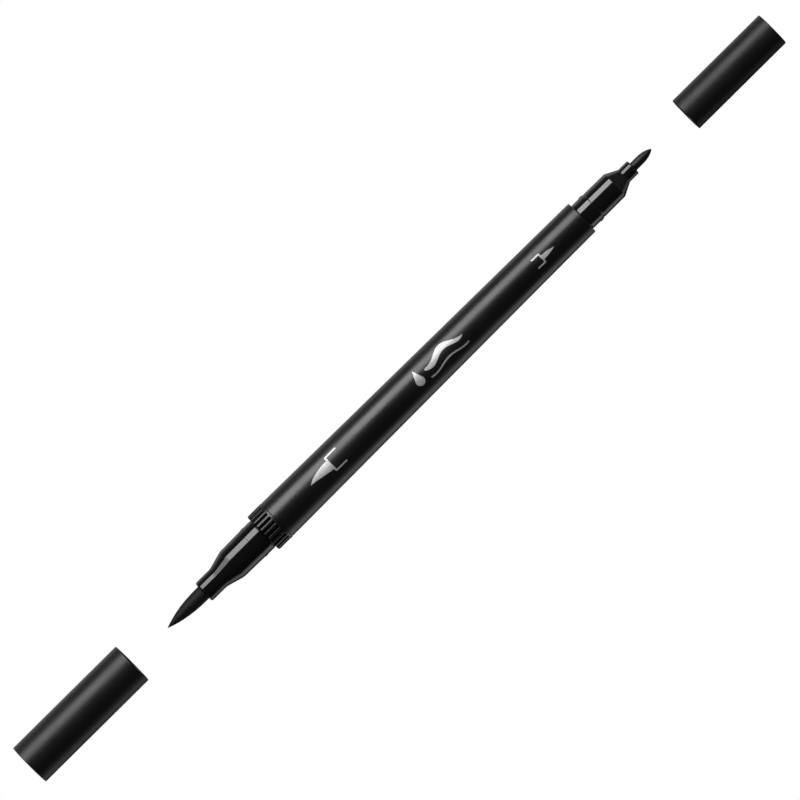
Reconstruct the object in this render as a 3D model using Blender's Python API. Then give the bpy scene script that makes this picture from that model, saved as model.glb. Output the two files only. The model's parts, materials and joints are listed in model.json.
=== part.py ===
"""A double-ended brush pen, laid out with both caps pulled straight off its ends.

The pen lies along X with +Z up. The soft brush tip points to -X and the fine tip to +X.
The origin is on the pen's axis, midway between the outer ends of the two caps.

Each writing end is modelled once, outwards along its own local +X, from the face of the
body. The brush end's empty is turned half a turn about Z, so that its outwards is -X.
Sizes are in millimetres, and MM turns them into metres.
"""

import math
from dataclasses import dataclass

import bmesh
import bpy
from mathutils import Matrix, Vector

MM = 0.001

# Facets round a circle, for the wide shells, the slim nibs, the breather tube and one groove.
WIDE_FACETS = 32
SLIM_FACETS = 24
TUBE_FACETS = 12
GROOVE_FACETS = 8
FACETS_PER_GROOVE = 3
ROUND_STEPS = 2
SMOOTH_BELOW_DEG = 30.0
MERGE_DISTANCE = 1e-7

# Clearances, as radii or lengths.
FIT_GAP = 0.05
BEAD_GAP = 0.02
SEAM = 0.06

# How far a cutter reaches past the face that it cuts through.
CUTTER_REACH = 1.0

# The body: a tapered barrel with a ribbed collar pushed over its brush end.
BODY_LENGTH = 100.2
BARREL_BRUSH_RADIUS = 5.05
BARREL_FINE_RADIUS = 4.33
BARREL_TAPER_POWER = 1.1
BARREL_STATIONS = 6
EDGE_ROUND = 0.14

COLLAR_LENGTH = 4.3
COLLAR_RADIUS = 5.12
COLLAR_LIP = 0.4
SPIGOT_RADIUS = 4.5
GROOVES = 24
GROOVE_LENGTH = 3.65
GROOVE_WIDTH = 0.6
GROOVE_DEPTH = 0.36
GROOVE_PHASE_DEG = -0.5

# The ink store lies between the two sections, held off the barrel by four slim ribs.
STORE_START = 11.0
STORE_END = 89.0
STORE_RADIUS = 3.08
FILM_GAP = 0.03
FILM_THICKNESS = 0.1
STORE_RIBS = 4
STORE_RIB_WIDTH = 0.7
STORE_RIB_INSET = 2.0
RIB_PHASE_DEG = 45.0
BORE_BRUSH_RADIUS = 3.75
BORE_FINE_RADIUS = 3.4
NIB_DEPTH_IN_STORE = 5.5
BREATHER_RADIUS = 0.45
BREATHER_BORE = 0.28
BREATHER_OFFSET = 2.45
BREATHER_OVERHANG = 0.8

# The shank that each section pushes into its socket, and the beads that seal it there.
SHANK_START = 1.0
SHANK_RELIEF = 0.12
SHANK_STEP = 0.4
SHANK_BEADS = (3.4, 6.2)
BEAD_HALF_LENGTH = 0.4
SHANK_END_GAP = 0.3
SHANK_LEAD_IN = (0.3, 0.2)
LAND_STEP = 0.2
MOUTH_CHAMFER = 0.12
FUNNEL_LENGTH = 2.0

# The brush tip bends about a point just in front of its ferrule. A nib's point narrows as
# (1 - share of its length ** fullness) ** bluntness.
PIVOT_AHEAD = 0.5
BRUSH_HEAD_LENGTH = 10.85
BRUSH_POINT = (2.25, 0.95)
FINE_POINT = (2.1, 0.8)
FINE_NIB_OUT = 5.72
FINE_POINT_LENGTH = 3.6
POINT_STATIONS = 9
PIVOT_BALL_STATIONS = 6
NIB_REAR_ROUND = 0.3

# Low bumps on each section's land, on its two sides, which click into a groove in the cap.
NUBS = 2
NUB_PHASE_DEG = 90.0
NUB_LENGTH = 0.8
NUB_WIDTH = 1.0
NUB_PLACE = 2.8
NUB_FACETS = (8, 6)


@dataclass
class End:
    """One writing end. Lengths run outwards from the face of the body."""

    land_radius: float
    land_length: float
    grip_radius: float
    neck_radius: float
    nub_height: float
    cone_start: float
    cone_end: float
    cone_round: float
    ferrule_radius: float
    ferrule_round: float
    nose_length: float
    nib_radius: float
    nib_bore_depth: float
    cavity_radius: float
    socket_depth: float


@dataclass
class Cap:
    """One cap. Lengths run outwards from its mouth."""

    length: float
    radius: float
    pulled_off: float
    chamber_radius: float
    chamber_end: float
    seal_radius: float
    seal_mouth: float
    seal_lip_length: float
    plug_rim: float
    vent_radius: float
    vent_width: float


BRUSH = End(
    land_radius=4.05,
    land_length=3.4,
    grip_radius=4.02,
    neck_radius=3.92,
    nub_height=0.08,
    cone_start=9.8,
    cone_end=14.1,
    cone_round=3.2,
    ferrule_radius=2.72,
    ferrule_round=0.42,
    nose_length=18.7,
    nib_radius=1.8,
    nib_bore_depth=8.0,
    cavity_radius=3.0,
    socket_depth=9.9,
)
FINE = End(
    land_radius=3.51,
    land_length=3.65,
    grip_radius=3.46,
    neck_radius=3.42,
    nub_height=0.15,
    cone_start=10.2,
    cone_end=13.2,
    cone_round=0.4,
    ferrule_radius=1.88,
    ferrule_round=0.28,
    nose_length=16.05,
    nib_radius=1.08,
    nib_bore_depth=8.0,
    cavity_radius=2.5,
    socket_depth=9.0,
)

BRUSH_CAP = Cap(
    length=32.25,
    radius=5.24,
    pulled_off=41.15,
    chamber_radius=3.7,
    chamber_end=30.2,
    seal_radius=4.05,
    seal_mouth=14.2,
    seal_lip_length=3.0,
    plug_rim=0.8,
    vent_radius=2.6,
    vent_width=0.8,
)
FINE_CAP = Cap(
    length=27.2,
    radius=4.33,
    pulled_off=32.6,
    chamber_radius=2.2,
    chamber_end=22.9,
    seal_radius=2.75,
    seal_mouth=13.4,
    seal_lip_length=1.9,
    plug_rim=2.0,
    vent_radius=2.1,
    vent_width=0.7,
)
CAP_CLEARANCE = 0.25
CAP_MOUTH_CHAMFER = 0.15
SNAP_GROOVE_DEPTH = 0.08
SNAP_GROOVE_LENGTH = 1.1
SNAP_GROOVE_SIDE = 0.2

# The seal's cup widens from its lip over a short cone, and slim fins hold it in the shell.
SEAL_WALL = 0.4
SEAL_LIP_WALL = 0.6
SEAL_LEAD_IN = (0.4, 0.3)
SEAL_CONE_OUTSIDE = 1.0
SEAL_CONE_INSIDE = 1.2
SEAL_FINS = 4
SEAL_FIN_WIDTH = 0.6
SEAL_FIN_ROOT = 0.15
SEAL_FIN_START = 1.6
SEAL_FIN_INSET = 0.3

PLUG_DISC = 0.6
PLUG_WALL = 0.6
PLUG_LEAD_IN = 0.2
VENTS = 3
VENT_SPAN_DEG = 64.0
VENT_STEPS = 5

BODY_X = (
    (BRUSH_CAP.pulled_off + BRUSH_CAP.length) - (BODY_LENGTH + FINE_CAP.pulled_off + FINE_CAP.length)
) / 2


# --- outlines, in millimetres, as (distance along the axis, radius) ---


def rounded(corners, steps=ROUND_STEPS):
    """The closed outline through corners of (x, radius, rounding), with an arc at each rounded one."""
    points = []
    for i, (x, r, rounding) in enumerate(corners):
        here = Vector((x, r))
        if not rounding:
            points.append((x, r))
            continue
        before = (Vector(corners[i - 1][:2]) - here).normalized()
        after = (Vector(corners[(i + 1) % len(corners)][:2]) - here).normalized()
        half = before.angle(after) / 2
        reach = rounding / math.tan(half)
        centre = here + (before + after).normalized() * (rounding / math.sin(half))
        start, end = here + before * reach - centre, here + after * reach - centre
        turn = start.angle_signed(end)
        for step in range(steps + 1):
            spoke = start.copy()
            spoke.rotate(Matrix.Rotation(-turn * step / steps, 2))
            points.append(tuple(centre + spoke))
    return points


def barrel_radius(x):
    """The barrel's outside radius. It thins towards the fine end, a little faster at the brush end."""
    along = (x - COLLAR_LENGTH) / (BODY_LENGTH - COLLAR_LENGTH)
    spread = BARREL_BRUSH_RADIUS - BARREL_FINE_RADIUS
    return BARREL_FINE_RADIUS + spread * max(0.0, 1 - along) ** BARREL_TAPER_POWER


def nib_point(start, length, radius, form):
    """Points of a pointed nib from its full radius at start to its tip, closer together near the tip."""
    fullness, bluntness = form
    shares = [math.sin(math.pi / 2 * i / POINT_STATIONS) for i in range(POINT_STATIONS)]
    points = [(start + length * s, radius * (1 - s**fullness) ** bluntness) for s in shares]
    return points + [(start + length, 0.0)]


# --- meshes ---


def turned(outline, facets=WIDE_FACETS):
    """A bmesh of the closed outline turned about X. An edge lying on the axis makes no face."""
    shape = bmesh.new()
    ring = [shape.verts.new((x * MM, 0.0, r * MM)) for x, r in outline]
    for a, b in zip(ring, ring[1:] + ring[:1]):
        if a.co.z or b.co.z:
            shape.edges.new((a, b))
    bmesh.ops.spin(
        shape,
        geom=shape.verts[:] + shape.edges[:],
        cent=(0, 0, 0),
        axis=(1, 0, 0),
        angle=math.tau,
        steps=facets,
        use_merge=True,
    )
    bmesh.ops.remove_doubles(shape, verts=shape.verts, dist=MERGE_DISTANCE)
    bmesh.ops.recalc_face_normals(shape, faces=shape.faces)
    return shape


def around_axis(count, phase_deg, make_one):
    """A bmesh of count copies of make_one's bmesh, evenly spaced about X. Angle 0 is up."""
    whole = bmesh.new()
    for i in range(count):
        one = make_one()
        turn = math.radians(phase_deg) + math.tau * i / count
        bmesh.ops.rotate(one, verts=one.verts, cent=(0, 0, 0), matrix=Matrix.Rotation(turn, 3, "X"))
        mesh = bpy.data.meshes.new("copy")
        one.to_mesh(mesh)
        whole.from_mesh(mesh)
        bpy.data.meshes.remove(mesh)
        one.free()
    return whole


def block(low, high):
    """A box between two corners, in millimetres."""
    shape = bmesh.new()
    size = Vector(high) - Vector(low)
    place = Matrix.Translation((Vector(high) + Vector(low)) / 2 * MM) @ Matrix.Diagonal((*(size * MM), 1))
    bmesh.ops.create_cube(shape, size=1, matrix=place)
    return shape


def rod(start, end, radius, facets, scale_z=1.0, offset=0.0):
    """A closed rod along X, its round section stretched by scale_z and raised by offset."""
    shape = bmesh.new()
    bmesh.ops.create_cone(
        shape,
        cap_ends=True,
        segments=facets,
        radius1=radius * MM,
        radius2=radius * MM,
        depth=(end - start) * MM,
        matrix=Matrix.Translation(((start + end) / 2 * MM, 0, offset * MM))
        @ Matrix.Diagonal((1, 1, scale_z, 1))
        @ Matrix.Rotation(math.pi / 2, 4, "Y"),
    )
    return shape


def snap_nub(end):
    """One low rounded bump on the land, at the top."""
    shape = bmesh.new()
    place = Matrix.Translation((NUB_PLACE * MM, 0, end.land_radius * MM))
    size = Matrix.Diagonal((NUB_LENGTH / 2 * MM, NUB_WIDTH / 2 * MM, end.nub_height * MM, 1))
    round_it, top_to_bottom = NUB_FACETS
    bmesh.ops.create_uvsphere(
        shape,
        u_segments=round_it,
        v_segments=top_to_bottom,
        radius=1,
        matrix=place @ size,
    )
    return shape


def arc_slot(start, end, radius, width, span_deg):
    """A closed slot-shaped prism along X, bent round the axis at the given mean radius."""
    shape = bmesh.new()
    angles = [math.radians(span_deg) * (i / VENT_STEPS - 0.5) for i in range(VENT_STEPS + 1)]
    rim = [(radius + width / 2, a) for a in angles] + [(radius - width / 2, a) for a in reversed(angles)]
    corners = [shape.verts.new((start * MM, r * math.sin(a) * MM, r * math.cos(a) * MM)) for r, a in rim]
    face = shape.faces.new(corners)
    made = bmesh.ops.extrude_face_region(shape, geom=[face])["geom"]
    moved = [v for v in made if isinstance(v, bmesh.types.BMVert)]
    bmesh.ops.translate(shape, verts=moved, vec=((end - start) * MM, 0, 0))
    bmesh.ops.recalc_face_normals(shape, faces=shape.faces)
    return shape


# --- objects and materials ---


def principled(name, colour, roughness, metallic=0.0, alpha=1.0):
    material = bpy.data.materials.new(name)
    material.use_nodes = True
    shader = material.node_tree.nodes["Principled BSDF"]
    shader.inputs["Base Color"].default_value = (*colour, 1)
    shader.inputs["Roughness"].default_value = roughness
    shader.inputs["Metallic"].default_value = metallic
    shader.inputs["Alpha"].default_value = alpha
    return material


def empty(name, parent=None, x=0.0, turn_deg=0.0):
    """A joint or assembly frame on the pen's axis, x millimetres along its parent's."""
    frame = bpy.data.objects.new(name, None)
    bpy.context.scene.collection.objects.link(frame)
    frame.parent = parent
    frame.location = (x * MM, 0, 0)
    frame.rotation_euler = (0, 0, math.radians(turn_deg))
    return frame


def piece(name, shape, parent, material=None):
    """Puts a bmesh into the scene as one named object, smooth except at its real edges."""
    mesh = bpy.data.meshes.new(name)
    shape.to_mesh(mesh)
    shape.free()
    mesh.shade_smooth()
    mesh.set_sharp_from_angle(angle=math.radians(SMOOTH_BELOW_DEG))
    obj = bpy.data.objects.new(name, mesh)
    bpy.context.scene.collection.objects.link(obj)
    obj.parent = parent
    if material:
        mesh.materials.append(material)
    return obj


def combine(target, shape, operation):
    """Cuts a helper shape from target, or joins it on. The helper stays in the file, unrendered."""
    helper = piece(f"{target.name}_{operation.lower()}", shape, target.parent)
    helper.hide_render = True
    helper.display_type = "WIRE"
    modifier = target.modifiers.new(operation.title(), "BOOLEAN")
    modifier.operation = operation
    modifier.solver = "EXACT"
    modifier.object = helper


# --- the body ---


def make_barrel(frame, material):
    """A tapered tube with a spigot for the collar, a socket at each end and four ribs inside."""
    brush_socket = BRUSH.land_radius + FIT_GAP
    fine_socket = FINE.land_radius + FIT_GAP
    shoulder = COLLAR_LENGTH + SEAM
    taper = [shoulder + (BODY_LENGTH - shoulder) * i / BARREL_STATIONS for i in range(1, BARREL_STATIONS)]
    outline = rounded(
        [
            (COLLAR_LIP + FIT_GAP, brush_socket, 0),
            (COLLAR_LIP + FIT_GAP, SPIGOT_RADIUS, 0),
            (shoulder, SPIGOT_RADIUS, 0),
            (shoulder, barrel_radius(shoulder), SEAM),
            *[(x, barrel_radius(x), 0) for x in taper],
            (BODY_LENGTH, BARREL_FINE_RADIUS, EDGE_ROUND),
            (BODY_LENGTH, fine_socket, 0),
            (BODY_LENGTH - FINE.socket_depth, fine_socket, 0),
            (BODY_LENGTH - FINE.socket_depth, BORE_FINE_RADIUS, 0),
            (BRUSH.socket_depth, BORE_BRUSH_RADIUS, 0),
            (BRUSH.socket_depth, brush_socket, 0),
        ]
    )
    barrel = piece("barrel", turned(outline), frame, material)
    crest = STORE_RADIUS + FILM_GAP + FILM_THICKNESS + FIT_GAP
    root = BORE_BRUSH_RADIUS + (BARREL_FINE_RADIUS - BORE_BRUSH_RADIUS) / 2
    half = STORE_RIB_WIDTH / 2
    start = BRUSH.socket_depth + STORE_RIB_INSET
    end = BODY_LENGTH - FINE.socket_depth - STORE_RIB_INSET
    ribs = around_axis(STORE_RIBS, RIB_PHASE_DEG, lambda: block((start, -half, crest), (end, half, root)))
    combine(barrel, ribs, "UNION")


def make_collar(frame, material):
    """A ring pushed over the barrel's spigot, with lengthwise grooves open at its front face."""
    inside = SPIGOT_RADIUS + FIT_GAP
    lip = BRUSH.land_radius + FIT_GAP
    outline = rounded(
        [
            (0, lip, 0),
            (0, COLLAR_RADIUS, EDGE_ROUND),
            (COLLAR_LENGTH, COLLAR_RADIUS, SEAM),
            (COLLAR_LENGTH, inside, 0),
            (COLLAR_LIP, inside, 0),
            (COLLAR_LIP, lip, 0),
        ]
    )
    collar = piece("ribbed_collar", turned(outline, GROOVES * FACETS_PER_GROOVE), frame, material)
    half = GROOVE_WIDTH / 2

    def groove():
        return rod(-CUTTER_REACH, GROOVE_LENGTH, half, GROOVE_FACETS, GROOVE_DEPTH / half, COLLAR_RADIUS)

    combine(collar, around_axis(GROOVES, GROOVE_PHASE_DEG, groove), "DIFFERENCE")


def make_ink_store(frame, fibre, film, tubing):
    """A fibre rod in a plastic film, drilled for both nibs, with a breather tube running through it."""
    brush_hole = BRUSH.nib_radius + FIT_GAP
    fine_hole = FINE.nib_radius + FIT_GAP
    brush_floor = STORE_START + NIB_DEPTH_IN_STORE + FIT_GAP
    fine_floor = STORE_END - NIB_DEPTH_IN_STORE - FIT_GAP
    core = turned(
        [
            (STORE_START, brush_hole),
            (STORE_START, STORE_RADIUS),
            (STORE_END, STORE_RADIUS),
            (STORE_END, fine_hole),
            (fine_floor, fine_hole),
            (fine_floor, 0),
            (brush_floor, 0),
            (brush_floor, brush_hole),
        ]
    )
    core = piece("ink_store_core", core, frame, fibre)
    start, end = STORE_START - CUTTER_REACH, STORE_END + CUTTER_REACH
    channel = rod(start, end, BREATHER_RADIUS + FIT_GAP, TUBE_FACETS, offset=BREATHER_OFFSET)
    combine(core, channel, "DIFFERENCE")

    inside = STORE_RADIUS + FILM_GAP
    outside = inside + FILM_THICKNESS
    wrap = [(STORE_START, inside), (STORE_START, outside), (STORE_END, outside), (STORE_END, inside)]
    piece("ink_store_film", turned(wrap), frame, film)

    start, end = STORE_START - BREATHER_OVERHANG, STORE_END + BREATHER_OVERHANG
    tube = [(start, BREATHER_BORE), (start, BREATHER_RADIUS), (end, BREATHER_RADIUS), (end, BREATHER_BORE)]
    breather = piece("breather_tube", turned(tube, TUBE_FACETS), frame, tubing)
    breather.location.z = BREATHER_OFFSET * MM


# --- the writing ends ---


def make_section(name, end, frame, material):
    """The glossy nose: ferrule, cone, grip and land outside, and a shank with two sealing beads inside."""
    mouth = end.nib_radius + FIT_GAP
    shank = end.land_radius - SHANK_RELIEF
    bead = end.land_radius + FIT_GAP - BEAD_GAP
    rear = -(end.socket_depth - SHANK_END_GAP)
    lead_length, lead_depth = SHANK_LEAD_IN
    beads = []
    for place in SHANK_BEADS:
        for step, radius in ((0, shank), (BEAD_HALF_LENGTH, bead), (2 * BEAD_HALF_LENGTH, shank)):
            beads.append((-place - step, radius, 0))
    bore_end = end.nose_length - end.nib_bore_depth
    outline = rounded(
        [
            (end.nose_length, mouth + MOUTH_CHAMFER, 0),
            (end.nose_length, end.ferrule_radius, end.ferrule_round),
            (end.cone_end, end.ferrule_radius, end.cone_round),
            (end.cone_start, end.neck_radius, end.cone_round),
            (end.land_length + LAND_STEP, end.grip_radius, 0),
            (end.land_length, end.land_radius, 0),
            (-SHANK_START, end.land_radius, 0),
            (-SHANK_START - SHANK_STEP, shank, 0),
            *beads,
            (rear + lead_length, shank, 0),
            (rear, shank - lead_depth, 0),
            (rear, end.cavity_radius, 0),
            (bore_end - FUNNEL_LENGTH, end.cavity_radius, 0),
            (bore_end, mouth, 0),
            (end.nose_length - MOUTH_CHAMFER, mouth, 0),
        ],
    )
    section = piece(name, turned(outline), frame, material)
    combine(section, around_axis(NUBS, NUB_PHASE_DEG, lambda: snap_nub(end)), "UNION")


def make_brush_nib(frame, pivot, material):
    """The soft nib in two solids: the shank held in the section, and the head that bends at the ferrule."""
    radius = BRUSH.nib_radius
    angles = [math.pi / 2 * i / PIVOT_BALL_STATIONS for i in range(PIVOT_BALL_STATIONS)]
    ball = [(-radius * math.cos(a), radius * math.sin(a)) for a in angles]
    head = ball + nib_point(0, BRUSH_HEAD_LENGTH, radius, BRUSH_POINT)
    piece("brush_nib_head", turned(head, SLIM_FACETS), pivot, material)

    front = BRUSH.nose_length + PIVOT_AHEAD - radius - FIT_GAP
    rear = -(STORE_START + NIB_DEPTH_IN_STORE)
    shank = rounded([(rear, 0, 0), (rear, radius, NIB_REAR_ROUND), (front, radius, 0), (front, 0, 0)])
    piece("brush_nib_shank", turned(shank, SLIM_FACETS), frame, material)


def make_fine_nib(frame, material):
    """A slim fibre rod with a bluntly pointed end, reaching back into the ink store."""
    radius = FINE.nib_radius
    rear = BODY_LENGTH - STORE_END + NIB_DEPTH_IN_STORE
    point = FINE.nose_length + FINE_NIB_OUT - FINE_POINT_LENGTH
    outline = [(-rear, 0), (-rear, radius), *nib_point(point, FINE_POINT_LENGTH, radius, FINE_POINT)]
    piece("fine_nib", turned(outline, SLIM_FACETS), frame, material)


# --- the caps ---


def make_cap_shell(name, cap, bore, frame, material):
    """A plain tube, with a shallow groove inside its mouth for the snap bumps."""
    groove = bore + SNAP_GROOVE_DEPTH
    near, far = (NUB_PLACE + side * SNAP_GROOVE_LENGTH / 2 for side in (-1, 1))
    outline = rounded(
        [
            (0, bore + CAP_MOUTH_CHAMFER, 0),
            (0, cap.radius, EDGE_ROUND),
            (cap.length, cap.radius, EDGE_ROUND),
            (cap.length, bore, 0),
            (far + SNAP_GROOVE_SIDE, bore, 0),
            (far, groove, 0),
            (near, groove, 0),
            (near - SNAP_GROOVE_SIDE, bore, 0),
            (CAP_MOUTH_CHAMFER, bore, 0),
        ]
    )
    piece(name, turned(outline), frame, material)


def make_cap_seal(name, cap, end, bore, frame, material):
    """A cup whose lip seals round the ferrule. Four slim fins centre it in the shell."""
    lip = end.ferrule_radius + FIT_GAP
    lip_end = cap.seal_mouth + cap.seal_lip_length
    cup_end = cap.chamber_end + SEAL_WALL
    lead_length, lead_depth = SEAL_LEAD_IN
    outline = [
        (cap.seal_mouth, lip + lead_depth),
        (cap.seal_mouth, lip + SEAL_LIP_WALL),
        (lip_end, lip + SEAL_LIP_WALL),
        (lip_end + SEAL_CONE_OUTSIDE, cap.seal_radius),
        (cup_end, cap.seal_radius),
        (cup_end, 0),
        (cap.chamber_end, 0),
        (cap.chamber_end, cap.chamber_radius),
        (lip_end + SEAL_CONE_INSIDE, cap.chamber_radius),
        (lip_end, lip),
        (cap.seal_mouth + lead_length, lip),
    ]
    seal = piece(name, turned(outline), frame, material)
    half = SEAL_FIN_WIDTH / 2
    low = (lip_end + SEAL_FIN_START, -half, cap.seal_radius - SEAL_FIN_ROOT)
    high = (cup_end - SEAL_FIN_INSET, half, bore - FIT_GAP)
    combine(seal, around_axis(SEAL_FINS, RIB_PHASE_DEG, lambda: block(low, high)), "UNION")


def make_cap_plug(name, cap, bore, frame, material):
    """A disc with a rim and three air slots, pushed into the shell until it is flush with its end."""
    inside = cap.length - PLUG_DISC
    rim = bore - FIT_GAP
    hollow = rim - PLUG_WALL
    rear = inside - cap.plug_rim
    outline = rounded(
        [
            (cap.length, 0, 0),
            (cap.length, rim, SEAM),
            (rear + PLUG_LEAD_IN, rim, 0),
            (rear, rim - PLUG_LEAD_IN, 0),
            (rear, hollow, 0),
            (inside, hollow, 0),
            (inside, 0, 0),
        ]
    )
    plug = piece(name, turned(outline), frame, material)
    start, end = inside - CUTTER_REACH, cap.length + CUTTER_REACH

    def slot():
        return arc_slot(start, end, cap.vent_radius, cap.vent_width, VENT_SPAN_DEG)

    combine(plug, around_axis(VENTS, 0, slot), "DIFFERENCE")


def make_cap(name, cap, end, frame, shell_material, seal_material):
    """A cap's three pieces. Its bore clears the snap bumps."""
    bore = end.land_radius + CAP_CLEARANCE
    make_cap_shell(f"{name}_shell", cap, bore, frame, shell_material)
    make_cap_seal(f"{name}_seal", cap, end, bore, frame, seal_material)
    make_cap_plug(f"{name}_end_plug", cap, bore, frame, shell_material)


def main():
    for obj in list(bpy.data.objects):
        bpy.data.objects.remove(obj)

    matt_black = principled("matt_black", (0.013, 0.013, 0.014), 0.42)
    gloss_black = principled("gloss_black", (0.006, 0.006, 0.006), 0.1)
    inked_felt = principled("inked_felt", (0.012, 0.012, 0.013), 0.85)
    inked_fibre = principled("inked_fibre", (0.03, 0.03, 0.035), 0.95)
    clear_film = principled("clear_film", (0.75, 0.78, 0.8), 0.15, alpha=0.4)
    natural_plastic = principled("natural_plastic", (0.72, 0.72, 0.68), 0.4)

    body = empty("body_frame", x=BODY_X)
    brush_end = empty("brush_end_frame", body, turn_deg=180)
    fine_end = empty("fine_end_frame", body, x=BODY_LENGTH)
    brush_pivot = empty("brush_pivot", brush_end, x=BRUSH.nose_length + PIVOT_AHEAD)
    brush_cap = empty("brush_cap_frame", brush_end, x=BRUSH_CAP.pulled_off)
    fine_cap = empty("fine_cap_frame", fine_end, x=FINE_CAP.pulled_off)

    make_barrel(body, matt_black)
    make_collar(body, matt_black)
    make_ink_store(body, inked_fibre, clear_film, natural_plastic)
    make_section("brush_section", BRUSH, brush_end, gloss_black)
    make_section("fine_section", FINE, fine_end, gloss_black)
    make_brush_nib(brush_end, brush_pivot, inked_felt)
    make_fine_nib(fine_end, inked_felt)
    make_cap("brush_cap", BRUSH_CAP, BRUSH, brush_cap, matt_black, natural_plastic)
    make_cap("fine_cap", FINE_CAP, FINE, fine_cap, matt_black, natural_plastic)


main()
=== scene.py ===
"""The looks of a double-ended brush pen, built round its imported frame.

Each piece but the ink store's is spun again at a fine resolution, from the outline of the CAD
node that it stands for, so its size and place come from the frame. Its corners are rounded as a
mould would round them. The store, its film and its tube are the CAD's own meshes. Sizes added to
the pen are in millimetres, and MM turns them into metres.
"""

import json
import math

import bmesh
import bpy
import numpy as np
from mathutils import Matrix, Vector, noise


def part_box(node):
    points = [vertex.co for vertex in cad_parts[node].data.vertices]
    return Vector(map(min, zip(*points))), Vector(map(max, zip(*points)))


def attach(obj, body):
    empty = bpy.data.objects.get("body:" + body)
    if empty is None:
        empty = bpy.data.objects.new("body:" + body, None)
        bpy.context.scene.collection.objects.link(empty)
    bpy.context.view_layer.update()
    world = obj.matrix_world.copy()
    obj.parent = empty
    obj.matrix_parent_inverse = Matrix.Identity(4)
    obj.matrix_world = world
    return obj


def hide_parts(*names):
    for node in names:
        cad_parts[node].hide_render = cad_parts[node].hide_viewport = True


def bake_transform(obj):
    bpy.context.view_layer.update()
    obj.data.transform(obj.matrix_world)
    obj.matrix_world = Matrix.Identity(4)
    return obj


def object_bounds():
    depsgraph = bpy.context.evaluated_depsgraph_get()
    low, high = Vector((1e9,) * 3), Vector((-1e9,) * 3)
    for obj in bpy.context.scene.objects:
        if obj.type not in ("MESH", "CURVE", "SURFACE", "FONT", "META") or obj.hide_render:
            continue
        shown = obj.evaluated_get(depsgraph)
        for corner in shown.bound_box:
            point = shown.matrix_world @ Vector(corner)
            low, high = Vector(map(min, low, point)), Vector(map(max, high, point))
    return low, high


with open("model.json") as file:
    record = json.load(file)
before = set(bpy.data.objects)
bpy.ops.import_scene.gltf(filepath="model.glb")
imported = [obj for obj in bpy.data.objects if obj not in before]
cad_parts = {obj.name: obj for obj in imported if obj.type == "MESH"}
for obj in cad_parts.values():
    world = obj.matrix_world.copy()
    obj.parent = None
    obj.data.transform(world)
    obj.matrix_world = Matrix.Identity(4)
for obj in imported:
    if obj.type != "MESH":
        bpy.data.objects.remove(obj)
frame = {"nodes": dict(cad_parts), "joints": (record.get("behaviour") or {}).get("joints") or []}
cad_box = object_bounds()

MM = 0.001

# How finely surfaces are divided: round a circle, round a corner, and along the pen in millimetres.
PLAIN_FACETS = 128
SHAPED_FACETS = 240
FACETS_PER_RIB = 20
ARC_STEP_DEG = 12.0
LONG_STEP = 2.5
NIB_STEP = 0.3
RIB_STEP = 0.12
NUB_STEP = 0.1

# Lengths in metres below which two places count as one, and the edges that stay sharp in shading.
TINY = 1e-6
DIGITS = 7
SHARP_EDGE_DEG = 40.0

# A corner that turns less than this isn't rounded, and an arc takes at most this share of an edge.
STRAIGHT_DEG = 1.0
CORNER_SHARE = 0.49

# Edge radii of the mouldings.
SHELL_EDGE = 0.12
SECTION_EDGE = 0.22
SEAL_EDGE = 0.15
SOFT_EDGE = 0.6

# The collar's ribs, as its grooves cut them. Their front ends slope (length, drop), and the mesh
# below RIB_ROOT is left as it is. Their shine is taken away over PAINTED_SHADE_BAND, just below their tops,
# as painted shade that keeps the grooves dark.
# RIB_PLANE_DEG is a half-plane that runs along a rib.
GROOVES = 24
GROOVE_PITCH_DEG = 360 / GROOVES
GROOVE_PHASE_DEG = -0.5
GROOVE_HALF_WIDTH = 0.36
GROOVE_DEPTH = 0.46
GROOVE_FORM = 1.4
GROOVE_LENGTH = 3.72
GROOVE_RUNOUT = 0.22
RIB_CROWN = 0.035
RIB_FRONT_SLOPE = (0.2, 0.34)
RIB_ROOT = 0.52
PAINTED_SHADE_BAND = 0.06
RIB_PLANE_DEG = 5.0

# The snap bumps on a section's land, the fine grooves moulded round it, and the air slots in a
# cap's end. A groove is (start and end from the body's face, depth), and lies on the outside: where
# the section is at least SECTION_OUTSIDE_SHARE of its greatest radius. VENT_FREE_PLANE_DEG is a
# half-plane that misses the slots, and a slot's cutter stands out by CUTTER_REACH at both ends.
NUB_PLACE = 2.8
NUB_LENGTH = 1.0
NUB_WIDTH = 1.3
NUB_HEIGHTS = {"brush_section": 0.07, "fine_section": 0.14}
NUBS = 2
NUB_PHASE_DEG = 90.0
SECTION_GROOVES = {
    "brush_section": [(0.02, 0.3, 0.1)],
    "fine_section": [(0.02, 0.28, 0.1), (3.58, 3.9, 0.07)],
}
SECTION_GROOVE_SIDE = 0.09
SECTION_OUTSIDE_SHARE = 0.9
LAND_TOLERANCE = 0.02
VENTS = 3
VENT_SPAN_DEG = 64.0
VENT_SIZES = {"brush_cap_end_plug": (2.6, 0.8), "fine_cap_end_plug": (2.1, 0.7)}
VENT_STEPS = 16
VENT_FREE_PLANE_DEG = 56.25
CUTTER_REACH = 1.0

# The nibs' fibres: how many ridges round a nib, how high, and how fast they wander along it. The
# brush nib's pivot comes from the frame's joints.
# Its shank's outline is taken up from NIB_JOIN behind the pivot. A nib is finely divided as far as
# its HIDDEN length inside the section.
BRUSH_FIBRES = {"ridges": 90, "depth_mm": 0.012, "seed": 3.0}
FINE_FIBRES = {"ridges": 70, "depth_mm": 0.006, "seed": 8.0}
FIBRE_WANDER = 0.35
NIB_JOIN = 4.0
FINE_NIB_HIDDEN = 1.0
BRUSH_NIB_HIDDEN = 2.0

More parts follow.
